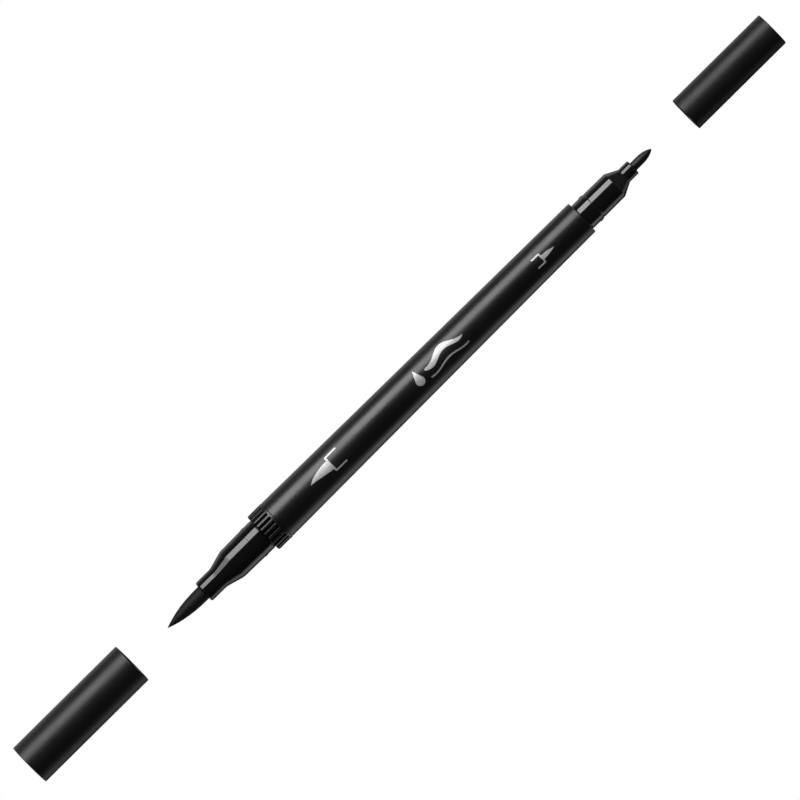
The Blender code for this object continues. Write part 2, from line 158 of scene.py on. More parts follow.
# The printed marks. Places along the pen are counted from the barrel's brush end. The ink is
# divided into strips that follow the barrel, starting off the shapes' own corners. Outside, the
# barrel is wider than BARREL_SLIMMEST of the fine cap's radius, and its bores are slimmer.
BARREL_SLIMMEST = 0.98
INK_THICKNESS = 0.018
INK_STRIP = 0.12
INK_STRIP_ALONG = 0.96
INK_STRIP_START = 0.37
INK_REACH = 3.0
INK_REACH_ALONG = 100.0
CURVE_STEPS = 14
ARM_WIDTH = 0.36
BRACKET_CORNER = 0.3
BRACKET_STEPS = 5

# The black plastic's roughness on the body, and how much bluer than grey its lightest colour is.
BODY_ROUGHNESS = 0.34
BLUISH = 1.06

# The stage, in metres but for the camera's sensor.
CAMERA_DISTANCE = 2.6
FRAME_WIDTH = 0.17856
SENSOR_WIDTH = 36.0
CAMERA_ROLL_DEG = 44.73
CAMERA_SHIFT = (-0.00022, -0.00069)
CAMERA_SEES_TO = 100.0
FLOOR_SIZE = 60.0
FLOOR_GAP = 0.05 * MM
SHADOW_REACH = 0.03
SHADOW_SAMPLES = 8
SHADOW_FADE = 1.05
FLOOR_REACH = 0.12
FLOOR_PEAK = 1.3
# The floor's painted brightness as the pen mirrors it, a pool of light and the pen's own painted shadow, at
# distances in millimetres along Y.
PAINTED_FLOOR_LIGHT = [
    (-110, 0.55), (-50, 0.75), (-28, 1.25), (-17, 1.1), (-13.5, 0.75), (-11, 0.25), (-9, 0.06), (1, 0.04),
    (5.5, 0.2), (8, 0.55), (11, 0.78), (15, 0.6), (22, 0.25), (35, 0.12), (110, 0.1),
]
# How much of that painted light is left on the -Y side, at distances in millimetres along X.
PAINTED_FLOOR_LIGHT_ALONG = [
    (-110, 0.6), (-84, 0.6), (-72, 0.7), (-60, 0.85), (-50, 1.0), (48, 1.0), (56, 0.8), (66, 0.6), (72, 0.55),
    (90, 0.3), (110, 0.25),
]
LIGHT_TILT_DEG = 48.5
LIGHT_OPENING_DEG = 37.5
LIGHT_REACH = 0.45
LIGHT_LENGTH = 0.84
LIGHT_STRENGTH = 7.8
LIGHT_PEAK_X = -0.035
LIGHT_FALLOFF = 0.164
LIGHT_DIMMEST = 0.5
ROOM_GLOW = 0.03
ROOM_GLOW_FINE_END = 0.1
ROOM_FINE_END = (0.3, 0.8)


# --- outlines ---


def outline_of(node, at_deg=0.0):
    """The (x, r) points of a turned CAD node in one half-plane through its axis, in order along its edges."""
    mesh = frame["nodes"][node].data
    back = Matrix.Rotation(math.radians(-at_deg), 3, "X")
    keys = {}
    for vertex in mesh.vertices:
        place = back @ vertex.co
        if abs(place.y) < TINY and place.z > -TINY:
            keys[vertex.index] = (round(place.x, DIGITS), round(abs(place.z), DIGITS))
    links = {}
    for edge in mesh.edges:
        a, b = (keys.get(i) for i in edge.vertices)
        if a and b and a != b:
            links.setdefault(a, set()).add(b)
            links.setdefault(b, set()).add(a)
    ends = sorted(key for key, near in links.items() if len(near) == 1)
    here = ends[0] if ends else min(links)
    path, seen = [here], {here}
    while True:
        onward = sorted(key for key in links[here] if key not in seen)
        if not onward:
            return path
        here = onward[0]
        path.append(here)
        seen.add(here)


def softened(points, radius):
    """The outline with each corner turned into an arc of at most this radius, in metres."""
    closed = points[0][1] > 0
    count = len(points)
    result = []
    for i, point in enumerate(points):
        here = Vector(point)
        if not closed and i in (0, count - 1):
            result.append(point)
            continue
        back = Vector(points[i - 1]) - here
        ahead = Vector(points[(i + 1) % count]) - here
        turn = math.pi - back.angle(ahead)
        if turn < math.radians(STRAIGHT_DEG):
            result.append(point)
            continue
        reach = min(radius * math.tan(turn / 2), back.length * CORNER_SHARE, ahead.length * CORNER_SHARE)
        start, end = back.normalized() * reach, ahead.normalized() * reach
        steps = max(2, round(math.degrees(turn) / ARC_STEP_DEG))
        for step in range(steps + 1):
            share = step / steps
            bend = start * (1 - share) ** 2 + end * share**2
            result.append(tuple(here + bend))
    return result


def divided(points, step, low=-1.0, high=1.0):
    """The outline with its edges between x = low and high split into pieces no longer than step."""
    closed = points[0][1] > 0
    result = []
    pairs = zip(points, points[1:] + points[:1]) if closed else zip(points, points[1:])
    for a, b in pairs:
        result.append(a)
        inside = max(a[0], b[0]) > low and min(a[0], b[0]) < high
        pieces = math.ceil(math.dist(a, b) / step) if inside else 1
        for i in range(1, pieces):
            share = i / pieces
            result.append((a[0] + (b[0] - a[0]) * share, a[1] + (b[1] - a[1]) * share))
    return result if closed else result + [points[-1]]


# --- pieces ---


def spun(name, outline, facets=PLAIN_FACETS, shape=None):
    """A piece turned about X from an outline. shape(x, r, angles) gives a ring's radii. Angle 0 is up."""
    closed = outline[0][1] > 0
    angles = np.arange(facets) * (2 * math.pi / facets)
    verts, rows = [], []
    for x, r in outline:
        if r < TINY:
            rows.append([len(verts)] * facets)
            verts.append((x, 0.0, 0.0))
            continue
        radii = np.full(facets, r) if shape is None else shape(x, r, angles)
        rows.append(list(range(len(verts), len(verts) + facets)))
        ring = np.stack([np.full(facets, x), -radii * np.sin(angles), radii * np.cos(angles)], axis=1)
        verts.extend(map(tuple, ring))
    faces = []
    for a, b in zip(rows, rows[1:] + rows[:1] if closed else rows[1:]):
        for j in range(facets):
            k = (j + 1) % facets
            corners = list(dict.fromkeys((a[j], a[k], b[k], b[j])))
            if len(corners) > 2:
                faces.append(corners)
    mesh = bpy.data.meshes.new(name)
    mesh.from_pydata(verts, [], faces)
    return linked(name, mesh)


def linked(name, mesh):
    """Puts a mesh in the scene as a smooth piece whose faces point out."""
    shape = bmesh.new()
    shape.from_mesh(mesh)
    bmesh.ops.recalc_face_normals(shape, faces=shape.faces)
    shape.to_mesh(mesh)
    shape.free()
    mesh.shade_smooth()
    piece = bpy.data.objects.new(name, mesh)
    bpy.context.scene.collection.objects.link(piece)
    return piece


def weigh_normals(piece):
    """Lets the broad faces set the shading, so that a small rounded edge doesn't tint them."""
    modifier = piece.modifiers.new("Weighted normals", "WEIGHTED_NORMAL")
    modifier.mode = "FACE_AREA"
    modifier.weight = 100
    modifier.keep_sharp = True


def cut(piece, cutter):
    """Cuts a helper piece out of another and removes the helper."""
    modifier = piece.modifiers.new("Boolean", "BOOLEAN")
    modifier.operation = "DIFFERENCE"
    modifier.solver = "EXACT"
    modifier.object = cutter
    bpy.context.view_layer.update()
    result = bpy.data.meshes.new_from_object(piece.evaluated_get(bpy.context.evaluated_depsgraph_get()))
    piece.modifiers.remove(modifier)
    piece.data = result
    bpy.data.objects.remove(cutter)


def finished(piece, body, material, slot, *nodes):
    """Gives a piece its material and its body, and hides the CAD nodes that it stands for."""
    piece.data.materials.clear()
    piece.data.materials.append(material)
    weigh_normals(piece)
    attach(piece, body)
    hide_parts(*nodes)
    return piece


# --- materials ---


class Paint:
    """A short way to write a material's node tree. Every texture is laid out in metres on the object."""

    def __init__(self, name):
        self.material = bpy.data.materials.new(name)
        self.material.use_nodes = True
        self.tree = self.material.node_tree
        self.shader = self.tree.nodes["Principled BSDF"]
        self.place = self.add("ShaderNodeTexCoord").outputs["Object"]

    def add(self, kind, **settings):
        node = self.tree.nodes.new(kind)
        for key, value in settings.items():
            if key in node.inputs:
                self.feed(node.inputs[key], value)
            else:
                setattr(node, key, value)
        return node

    def feed(self, socket, value):
        if isinstance(value, bpy.types.NodeSocket):
            self.tree.links.new(value, socket)
        else:
            socket.default_value = value

    def set(self, **inputs):
        for key, value in inputs.items():
            self.feed(self.shader.inputs[key.replace("_", " ")], value)

    def stretched(self, along, around):
        """Object coordinates scaled by along on X and by around on Y and Z, in turns per metre."""
        mapping = self.add("ShaderNodeMapping", Vector=self.place)
        mapping.inputs["Scale"].default_value = (along, around, around)
        return mapping.outputs["Vector"]

    def noise(self, vector, scale=1, detail=3, rough=0.55):
        node = self.add("ShaderNodeTexNoise", Vector=vector, Scale=scale, Detail=detail, Roughness=rough)
        return node.outputs["Fac"]

    def between(self, factor, low, high, start=0.3, end=0.7):
        """A number that runs from low to high as factor runs from start to end."""
        node = self.add("ShaderNodeMapRange", Value=factor)
        for key, value in (("From Min", start), ("From Max", end), ("To Min", low), ("To Max", high)):
            node.inputs[key].default_value = value
        return node.outputs["Result"]

    def blend(self, factor, dark, light):
        """A colour that runs from dark to light with factor."""
        node = self.add("ShaderNodeMix", data_type="RGBA")
        self.feed(node.inputs["Factor"], factor)
        for key, colour in (("A", dark), ("B", light)):
            socket = next(s for s in node.inputs if s.name == key and s.type == "RGBA")
            socket.default_value = (*colour, 1)
        return next(s for s in node.outputs if s.type == "RGBA")

    def sum(self, first, second):
        node = self.add("ShaderNodeMath", operation="ADD")
        self.feed(node.inputs[0], first)
        self.feed(node.inputs[1], second)
        return node.outputs[0]

    def bump(self, height, depth_mm, normal=None):
        node = self.add("ShaderNodeBump", Height=height, Distance=depth_mm * MM)
        if normal:
            self.feed(node.inputs["Normal"], normal)
        return node.outputs["Normal"]


def satin_black(name, roughness, shine_level=0.5, tint=0.0, painted_shade_below=None):
    """Black plastic from a finely grained mould, with faint lengthwise drag marks and handling shine.

    painted_shade_below is the radius round the pen's axis below which the surface has no shine: painted
    shade.
    """
    paint = Paint(name)
    # Painted shade: below painted_shade_below the shine fades to nothing over PAINTED_SHADE_BAND, so the
    # grooves stay dark.
    if painted_shade_below:
        flat = paint.add("ShaderNodeVectorMath", operation="MULTIPLY")
        paint.feed(flat.inputs[0], paint.place)
        flat.inputs[1].default_value = (0, 1, 1)
        radius = paint.add("ShaderNodeVectorMath", operation="LENGTH")
        paint.feed(radius.inputs[0], flat.outputs["Vector"])
        shine_level = paint.between(
            radius.outputs["Value"],
            low=0.0,
            high=shine_level,
            start=painted_shade_below - PAINTED_SHADE_BAND * MM,
            end=painted_shade_below,
        )
    grain = paint.noise(paint.place, scale=9000, detail=2)
    drag = paint.noise(paint.stretched(along=60, around=2200), detail=4)
    waves = paint.noise(paint.stretched(along=160, around=60), detail=2)
    handled = paint.noise(paint.stretched(along=130, around=90), detail=4)
    worn = paint.between(handled, low=roughness - 0.04, high=roughness + 0.04)
    streaked = paint.sum(worn, paint.between(drag, low=-0.015, high=0.015))
    low, high = 0.0034 + tint, 0.0048 + tint
    wavy = paint.bump(waves, depth_mm=0.02)
    dragged = paint.bump(drag, depth_mm=0.002, normal=wavy)
    paint.set(
        Base_Color=paint.blend(grain, dark=(low, low, low), light=(high, high, high * BLUISH)),
        Roughness=streaked,
        Specular_IOR_Level=shine_level,
        Normal=paint.bump(grain, depth_mm=0.003, normal=dragged),
    )
    return paint.material


def gloss_black(name, ior):
    """Polished black plastic, with the slight waviness of a moulding and faint smudges and hairlines."""
    paint = Paint(name)
    waves = paint.noise(paint.place, scale=160, detail=2)
    scuffs = paint.noise(paint.stretched(along=300, around=4200), detail=5, rough=0.7)
    smudge = paint.noise(paint.place, scale=260, detail=4)
    hairline = paint.between(scuffs, low=0.0, high=0.03, start=0.62, end=0.74)
    paint.set(
        Base_Color=paint.blend(smudge, dark=(0.0034, 0.0034, 0.0034), light=(0.0044, 0.0044, 0.0045)),
        Roughness=paint.sum(paint.between(smudge, low=0.04, high=0.065), hairline),
        IOR=ior,
        Normal=paint.bump(waves, depth_mm=0.004),
    )
    return paint.material


def inked_felt():
    """A bundle of fine fibres soaked in black ink, pressed smooth and drawn out along the tip."""
    paint = Paint("inked_felt")
    fibres = paint.noise(paint.stretched(along=700, around=7000), detail=4, rough=0.6)
    clumps = paint.noise(paint.stretched(along=250, around=1300))
    clumped = paint.bump(clumps, depth_mm=0.008)
    paint.set(
        Base_Color=paint.blend(clumps, dark=(0.005, 0.005, 0.0052), light=(0.0085, 0.0085, 0.0089)),
        Roughness=paint.between(fibres, low=0.5, high=0.62),
        Specular_IOR_Level=0.17,
        Sheen_Weight=0.03,
        Sheen_Roughness=0.4,
        Normal=paint.bump(fibres, depth_mm=0.006, normal=clumped),
    )
    paint.shader.inputs["Sheen Tint"].default_value = (0.5, 0.5, 0.52, 1)
    return paint.material


def inked_fibre():
    """A hard rod of bonded fibres, smoothed to a dull shine."""
    paint = Paint("inked_fibre")
    fibres = paint.noise(paint.stretched(along=400, around=9000), detail=4, rough=0.6)
    wear = paint.noise(paint.place, scale=1200)
    paint.set(
        Base_Color=paint.blend(fibres, dark=(0.004, 0.004, 0.0042), light=(0.007, 0.007, 0.0074)),
        Roughness=paint.between(wear, low=0.38, high=0.46),
        Specular_IOR_Level=0.35,
        Normal=paint.bump(fibres, depth_mm=0.004),
    )
    return paint.material


def natural_plastic():
    """Uncoloured, slightly milky plastic with soft flow marks."""
    paint = Paint("natural_plastic")
    flow = paint.noise(paint.stretched(along=150, around=700))
    grain = paint.noise(paint.place, scale=6000, detail=2)
    paint.set(
        Base_Color=paint.blend(flow, dark=(0.62, 0.62, 0.58), light=(0.74, 0.74, 0.71)),
        Roughness=paint.between(grain, low=0.34, high=0.46),
        Subsurface_Weight=0.3,
        Normal=paint.bump(grain, depth_mm=0.004),
    )
    paint.shader.inputs["Subsurface Radius"].default_value = (0.0012, 0.0012, 0.001)
    paint.shader.inputs["Subsurface Scale"].default_value = 1.0
    return paint.material


def store_fibre():
    """Crimped filler fibre, blotched with ink."""
    paint = Paint("store_fibre")
    strands = paint.noise(paint.stretched(along=900, around=6000), detail=6, rough=0.7)
    ink = paint.noise(paint.place, scale=300)
    paint.set(
        Base_Color=paint.blend(ink, dark=(0.012, 0.012, 0.014), light=(0.06, 0.06, 0.065)),
        Roughness=paint.between(strands, low=0.8, high=1.0),
        Normal=paint.bump(strands, depth_mm=0.08),
    )
    return paint.material


def clear_film():
    """A thin clear wrap with slight wrinkles along it."""
    paint = Paint("clear_film")
    wrinkles = paint.noise(paint.stretched(along=80, around=900))
    paint.set(
        Base_Color=paint.blend(wrinkles, dark=(0.8, 0.82, 0.84), light=(0.9, 0.92, 0.93)),
        Roughness=paint.between(wrinkles, low=0.1, high=0.2),
        Alpha=0.35,
        Normal=paint.bump(wrinkles, depth_mm=0.05),
    )
    return paint.material


def silver_ink():
    """Metallic pad-printing ink: flakes in a clear binder, thinner in places."""
    paint = Paint("silver_ink")
    flakes = paint.add("ShaderNodeTexVoronoi", Vector=paint.place, Scale=14000).outputs["Distance"]
    cover = paint.noise(paint.place, scale=3200, detail=4)
    patches = paint.between(cover, low=0.0, high=1.0)
    paint.set(
        Base_Color=paint.blend(patches, dark=(0.36, 0.36, 0.37), light=(0.64, 0.64, 0.65)),
        Metallic=0.55,
        Roughness=paint.between(cover, low=0.46, high=0.56),
        Normal=paint.bump(flakes, depth_mm=0.006),
    )
    return paint.material


# --- the body ---


def make_barrel(material):
    outline = softened(outline_of("barrel"), SHELL_EDGE * MM)
    outline = divided(outline, LONG_STEP * MM)
    return finished(spun("barrel_shell", outline), "pen", material, "barrel_plastic", "barrel")


def groove_depth(from_front, angles):
    """How deep the grooves cut at each angle, at a distance from the collar's front face, all in metres."""
    pitch = math.radians(GROOVE_PITCH_DEG)
    phase = math.radians(GROOVE_PHASE_DEG)
    radius = (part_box("ribbed_collar")[1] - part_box("ribbed_collar")[0]).z / 2
    across = np.abs((angles - phase + pitch / 2) % pitch - pitch / 2) * radius / MM
    left = (GROOVE_LENGTH - from_front / MM) / GROOVE_RUNOUT
    fade = math.sqrt(max(0.0, 1 - (1 - min(1.0, max(0.0, left))) ** 2))
    across_groove = across / (GROOVE_HALF_WIDTH * max(fade, TINY))
    valley = GROOVE_DEPTH * fade * np.clip(1 - across_groove**GROOVE_FORM, 0, 1)
    half_pitch = pitch * radius / MM / 2
    crown = RIB_CROWN * fade * np.clip((half_pitch - across) / (half_pitch - GROOVE_HALF_WIDTH), 0, 1) ** 2
    return np.maximum(valley, crown) * MM


def make_collar():
    """The ring behind the brush. Its ribs slope down to its front, and grooves part them, their shine taken
    away as painted shade.
    """
    low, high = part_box("ribbed_collar")
    outer = (high - low).z / 2
    outline = softened(outline_of("ribbed_collar", at_deg=RIB_PLANE_DEG), SHELL_EDGE * MM)
    outline = divided(outline, RIB_STEP * MM)
    slope_length, slope_drop = (size * MM for size in RIB_FRONT_SLOPE)
    root = outer - RIB_ROOT * MM

    def ribbed(x, r, angles):
        drop = slope_drop * max(0.0, 1 - (x - low.x) / slope_length)
        depth = np.maximum(drop, groove_depth(x - low.x, angles))
        return r - depth * max(0.0, (r - root) / (outer - root))

    # Painted shade: the grooves have no shine below the ribs' crowns.
    material = satin_black("satin_black_collar", BODY_ROUGHNESS, painted_shade_below=outer - RIB_CROWN * MM)
    collar = spun("ribbed_collar_shell", outline, GROOVES * FACETS_PER_RIB, ribbed)
    return finished(collar, "pen", material, "barrel_plastic", "ribbed_collar")


def with_groove(outline, near, far, depth):
    """A section's outline with a fine groove round its outside, between x = near and far, in metres."""
    near, far = sorted((near, far))
    outside = max(r for x, r in outline) * SECTION_OUTSIDE_SHARE

    def crossing(x):
        """The outside edge that passes x, and its radius there."""
        for i, (a, b) in enumerate(zip(outline, outline[1:])):
            if min(a[1], b[1]) > outside and min(a[0], b[0]) < x < max(a[0], b[0]):
                return i, a[1] + (b[1] - a[1]) * (x - a[0]) / (b[0] - a[0])

    (place, near_radius), (end, far_radius) = crossing(near), crossing(far)
    side = SECTION_GROOVE_SIDE * MM
    floor = min(near_radius, far_radius) - depth
    groove = [(near, near_radius), (near + side, floor), (far - side, floor), (far, far_radius)]
    if end < place:
        groove.reverse()
    return [*outline[: min(place, end) + 1], *groove, *outline[max(place, end) + 1 :]]


def make_section(node, outward, material):
    """A glossy nose with a snap bump on each side of its land. outward is the way it points along X."""
    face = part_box("ribbed_collar")[0].x if outward < 0 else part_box("barrel")[1].x
    place = face + outward * NUB_PLACE * MM
    length, width, height = NUB_LENGTH / 2 * MM, NUB_WIDTH / 2 * MM, NUB_HEIGHTS[node] * MM
    outline = outline_of(node)
    for start, end, depth in SECTION_GROOVES[node]:
        outline = with_groove(outline, face + outward * start * MM, face + outward * end * MM, depth * MM)
    outline = softened(outline, SECTION_EDGE * MM)
    outline = divided(outline, NUB_STEP * MM, place - length, place + length)
    land = max(r for x, r in outline if abs(x - place) < length)
    phase = math.radians(NUB_PHASE_DEG)
    pitch = math.tau / NUBS

    def bumped(x, r, angles):
        if abs(r - land) > LAND_TOLERANCE * MM:
            return np.full(len(angles), r)
        across = ((angles - phase + pitch / 2) % pitch - pitch / 2) * land
        share = np.clip(1 - ((x - place) / length) ** 2 - (across / width) ** 2, 0, 1)
        return r + height * share * (2 - share)

    section = spun(f"{node}_shell", outline, SHAPED_FACETS, bumped)
    return finished(section, "pen", material, "section_plastic", node)


def fibrous(ridges, depth_mm, seed):
    """A shape function that raises fine lengthwise fibres on a nib."""

    def shape(x, r, angles):
        heights = []
        for angle in angles:
            across = Vector((math.cos(angle), math.sin(angle), 0)) * ridges / math.tau
            across.z = x / MM * FIBRE_WANDER
            heights.append(noise.noise(across + Vector((seed, 0, 0))))
        fade = min(1.0, r / MM)
        return r + np.array(heights) * depth_mm * MM * fade

    return shape


def make_brush_nib(material):
    """One soft nib, from the ink store to the point, in one piece through its pivot where it leaves its
    ferrule.
    """
    pivot = Vector(next(j for j in frame["joints"] if j["name"] == "brush_flex")["pos_m"])
    head = sorted(p for p in outline_of("brush_nib_head") if p[0] <= pivot.x + TINY)
    shank = [p for p in outline_of("brush_nib_shank") if p[0] > pivot.x + NIB_JOIN * MM]
    shank.sort(key=lambda p: (p[0], -p[1]))
    outline = softened([*head, *shank, (shank[-1][0], 0.0)], SOFT_EDGE * MM)
    outline = divided(outline, NIB_STEP * MM, high=pivot.x + BRUSH_NIB_HIDDEN * MM)
    nib = spun("brush_nib", outline, shape=fibrous(**BRUSH_FIBRES))
    nib.data.materials.append(material)
    weigh_normals(nib)
    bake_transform(nib)
    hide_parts("brush_nib_head", "brush_nib_shank")
    return nib


def make_fine_nib(material):
    outline = softened(outline_of("fine_nib"), SOFT_EDGE * MM)
    outline = divided(outline, NIB_STEP * MM, low=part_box("fine_section")[1].x - FINE_NIB_HIDDEN * MM)
    nib = spun("fine_nib_rod", outline, shape=fibrous(**FINE_FIBRES))
    return finished(nib, "pen", material, "fine_fibre", "fine_nib")


# --- the caps ---


def make_cap_shell(node, body, material):
    outline = divided(softened(outline_of(node), SHELL_EDGE * MM), LONG_STEP * MM)
    return finished(spun(f"{node}_body", outline), body, material, "cap_plastic", node)


def make_cap_seal(node, body, material):
    outline = softened(outline_of(node), SEAL_EDGE * MM)
    return finished(spun(f"{node}_cup", outline), body, material, "inner_plastic", node)


def slot_cutter(radius, width, span_deg, low, high):
    """A slot-shaped prism along X, with round ends, bent round the axis. Angle 0 is up."""
    half = math.radians(span_deg) / 2
    rim = []
    for side, turn in ((1, 1), (-1, -1)):
        for i in range(VENT_STEPS + 1):
            angle = -half + 2 * half * i / VENT_STEPS
            rim.append((radius + side * width / 2, angle * turn))
        for i in range(1, VENT_STEPS):
            around = math.pi * i / VENT_STEPS
            bulge = width / 2 * math.sin(around) / radius
            rim.append((radius + side * width / 2 * math.cos(around), (half + bulge) * turn))
    shape = bmesh.new()
    verts = [shape.verts.new((low, -r * math.sin(a), r * math.cos(a))) for r, a in rim]
    made = bmesh.ops.extrude_face_region(shape, geom=[shape.faces.new(verts)])["geom"]
    moved = [v for v in made if isinstance(v, bmesh.types.BMVert)]
    bmesh.ops.translate(shape, verts=moved, vec=(high - low, 0, 0))
    return shape


def make_end_plug(node, body, material):
    """The disc that closes a cap, with three air slots through it."""
    start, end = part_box(node)[0].x - CUTTER_REACH * MM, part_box(node)[1].x + CUTTER_REACH * MM
    plug = spun(f"{node}_disc", softened(outline_of(node, at_deg=VENT_FREE_PLANE_DEG), SHELL_EDGE * MM))
    radius, width = (size * MM for size in VENT_SIZES[node])
    for i in range(VENTS):
        shape = slot_cutter(radius, width, VENT_SPAN_DEG, start, end)
        turn = Matrix.Rotation(math.tau * i / VENTS, 3, "X")
        bmesh.ops.rotate(shape, verts=shape.verts, cent=(0, 0, 0), matrix=turn)
        mesh = bpy.data.meshes.new("slot")
        shape.to_mesh(mesh)
        shape.free()
        cut(plug, linked("slot", mesh))
    plug.data.set_sharp_from_angle(angle=math.radians(SHARP_EDGE_DEG))
    return finished(plug, body, material, "cap_plastic", node)


# --- the printed marks ---


def curve_points(*corners):
    """Points of a Bezier curve with four corners, without its last one."""
    shares = [i / CURVE_STEPS for i in range(CURVE_STEPS)]
    weights = [((1 - s) ** 3, 3 * s * (1 - s) ** 2, 3 * s * s * (1 - s), s**3) for s in shares]
    return [tuple(sum(w * p[k] for w, p in zip(ws, corners)) for k in (0, 1)) for ws in weights]


def bracket(x_bar, x_arm, y_top, y_low, bar):
    """A bar across the pen with an arm running back along it at each end. Its outer corners are rounded."""
    back = math.copysign(1, x_arm - x_bar)
    inner = x_bar + back * bar
    soft = BRACKET_CORNER
    corners = []
    for y, turn in ((y_low, -1), (y_top, 1)):
        for i in range(BRACKET_STEPS + 1):
            angle = math.pi / 2 * (i if turn < 0 else BRACKET_STEPS - i) / BRACKET_STEPS
            x = x_bar + back * soft * (1 - math.sin(angle))
            corners.append((x, y + turn * soft * (1 - math.cos(angle))))
    return [
        (x_arm, y_top),
        (x_arm, y_top + ARM_WIDTH),
        (inner, y_top + ARM_WIDTH),
        (inner, y_low - ARM_WIDTH),
        (x_arm, y_low - ARM_WIDTH),
        (x_arm, y_low),
        *corners,
    ]


def brush_sign():
    """A leaning brush point above the outline of its holder."""
    tip, top, low = (15.15, -0.06), (21.45, -1.6), (21.45, 0.84)
    nib = curve_points(tip, (16.3, -0.98), (18.3, -1.52), top)
    nib += [top] + curve_points(low, (19.4, 0.84), (17.4, -0.08), tip)
    return [nib, bracket(21.4, 24.9, -2.44, 1.7, 0.42)]


def fine_sign():
    """A straight fine point with the outline of its holder."""
    upper, lower = [(87.5, -0.45), (89.3, -0.34), (90.98, 0.1)], [(90.98, 0.24), (89.3, 0.58), (87.5, 0.74)]
    nib = [*upper, (91.05, 0.17), *lower]
    return [nib, bracket(87.58, 85.2, -1.25, 1.44, 0.36)]


def drop_sign():
    """An ink drop: most of a circle, and the tip that it runs up to."""
    x, y, radius = 48.85, 0.55, 1.12
    tip = (49.0, -2.3)
    start, turn = math.radians(340), math.radians(220)
    steps = 32
    angles = [start + turn * i / steps for i in range(steps + 1)]
    return [[tip, *((x + radius * math.cos(angle), y + radius * math.sin(angle)) for angle in angles)]]


def wave_sign():
    """A broad brush wave over a fine wave: what the pen's two ends draw."""
    start, length, steps = 51.2, 11.7, 90
    height, waves, phase = 0.7, 1.25, 0.6
    broad_y, broad_half, taper, end_half, shortening = -0.95, 0.86, 0.35, 0.04, 1.02
    fine_y, fine_half = 1.5, 0.2
    broad, fine = [[], []], [[], []]
    for i in range(steps + 1):
        share = i / steps
        x = start + length * share
        swing = height * math.sin(math.tau * waves * share + phase)
        swell = math.sin(math.pi * min(1.0, share * shortening)) ** 0.5
        press = broad_half * swell * (1 - taper * share) + end_half
        for side, sign in enumerate((-1, 1)):
            broad[side].append((x, broad_y + swing + sign * press))
            fine[side].append((x, fine_y + swing / 2 + sign * fine_half))
    return [broad[0] + broad[1][::-1], fine[0] + fine[1][::-1]]


def barrel_outside():
    """The outside of the barrel behind its collar, as places along it and radii."""
    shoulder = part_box("ribbed_collar")[1].x
    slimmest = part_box("fine_cap_shell")[1].z * BARREL_SLIMMEST
    outside = [point for point in outline_of("barrel") if point[1] > slimmest and point[0] > shoulder]
    return zip(*sorted(outside))


def make_print(name, polygons, material):
    """Flat ink shapes laid on top of the barrel. Points are (distance from the brush end, distance to -Y)."""
    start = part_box("ribbed_collar")[0].x
    places, radii = barrel_outside()
    shape = bmesh.new()
    for polygon in polygons:
        shape.faces.new([shape.verts.new((start + x * MM, -y * MM, 0)) for x, y in polygon])
    strips = [((0, 1, 0), INK_STRIP, INK_REACH), ((1, 0, 0), INK_STRIP_ALONG, INK_REACH_ALONG)]
    for direction, step, reach in strips:
        for i in range(int(-reach / step), int(reach / step) + 1):
            place = Vector(direction) * (i + INK_STRIP_START) * step * MM
            if direction[0]:
                place.x += start
            geometry = shape.verts[:] + shape.edges[:] + shape.faces[:]
            bmesh.ops.bisect_plane(shape, geom=geometry, plane_co=place, plane_no=direction)
    bmesh.ops.triangulate(shape, faces=shape.faces)
    bmesh.ops.recalc_face_normals(shape, faces=shape.faces)
    made = bmesh.ops.extrude_face_region(shape, geom=shape.faces[:], use_keep_orig=True)["geom"]
    top = {v for v in made if isinstance(v, bmesh.types.BMVert)}
    for vert in shape.verts:
        surface = math.sqrt(np.interp(vert.co.x, places, radii) ** 2 - vert.co.y**2)
        out = Vector((0, vert.co.y, surface)).normalized()
        lift = INK_THICKNESS if vert in top else -INK_THICKNESS
        vert.co = Vector((vert.co.x, vert.co.y, surface)) + out * lift * MM
    mesh = bpy.data.meshes.new(name)
    shape.to_mesh(mesh)
    shape.free()
    print_piece = linked(name, mesh)
    mesh.set_sharp_from_angle(angle=math.radians(SHARP_EDGE_DEG))
    mesh.materials.append(material)
    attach(print_piece, "pen")
    return print_piece


# --- the stage ---


def emission(tree, strength, colour=(1, 1, 1)):
    node = tree.nodes.new("ShaderNodeEmission")
    node.inputs["Color"].default_value = (*colour, 1)
    if isinstance(strength, bpy.types.NodeSocket):
        tree.links.new(strength, node.inputs["Strength"])
    else:
        node.inputs["Strength"].default_value = strength
    return node.outputs[0]


def math_node(tree, operation, *values):
    node = tree.nodes.new("ShaderNodeMath")
    node.operation = operation
    for socket, value in zip(node.inputs, values):
        if isinstance(value, bpy.types.NodeSocket):
            tree.links.new(value, socket)
        else:
            socket.default_value = value
    return node.outputs[0]


def staged_plane(name, width, length, material):
    """A flat sheet round its own origin, facing its own +Z, that isn't part of the object."""
    mesh = bpy.data.meshes.new(name)
    x, y = length / 2, width / 2
    mesh.from_pydata([(-x, -y, 0), (x, -y, 0), (x, y, 0), (-x, y, 0)], [], [(0, 1, 2, 3)])
    mesh.materials.append(material)
    sheet = bpy.data.objects.new(name, mesh)
    bpy.context.scene.collection.objects.link(sheet)
    return sheet


def painted_floor_light(tree, distance, stops, peak):
    """A brightness read off (distance in millimetres, brightness) stops."""
    share = tree.nodes.new("ShaderNodeMapRange")
    tree.links.new(distance, share.inputs["Value"])
    share.inputs["From Min"].default_value = -FLOOR_REACH
    share.inputs["From Max"].default_value = FLOOR_REACH
    node = tree.nodes.new("ShaderNodeValToRGB")
    tree.links.new(share.outputs["Result"], node.inputs["Fac"])
    elements = node.color_ramp.elements
    while len(elements) < len(stops):
        elements.new(0.5)
    for element, (place, glow) in zip(elements, stops):
        element.position = (place * MM / FLOOR_REACH + 1) / 2
        element.color = (glow / peak, glow / peak, glow / peak, 1)
    return math_node(tree, "MULTIPLY", node.outputs["Color"], peak)


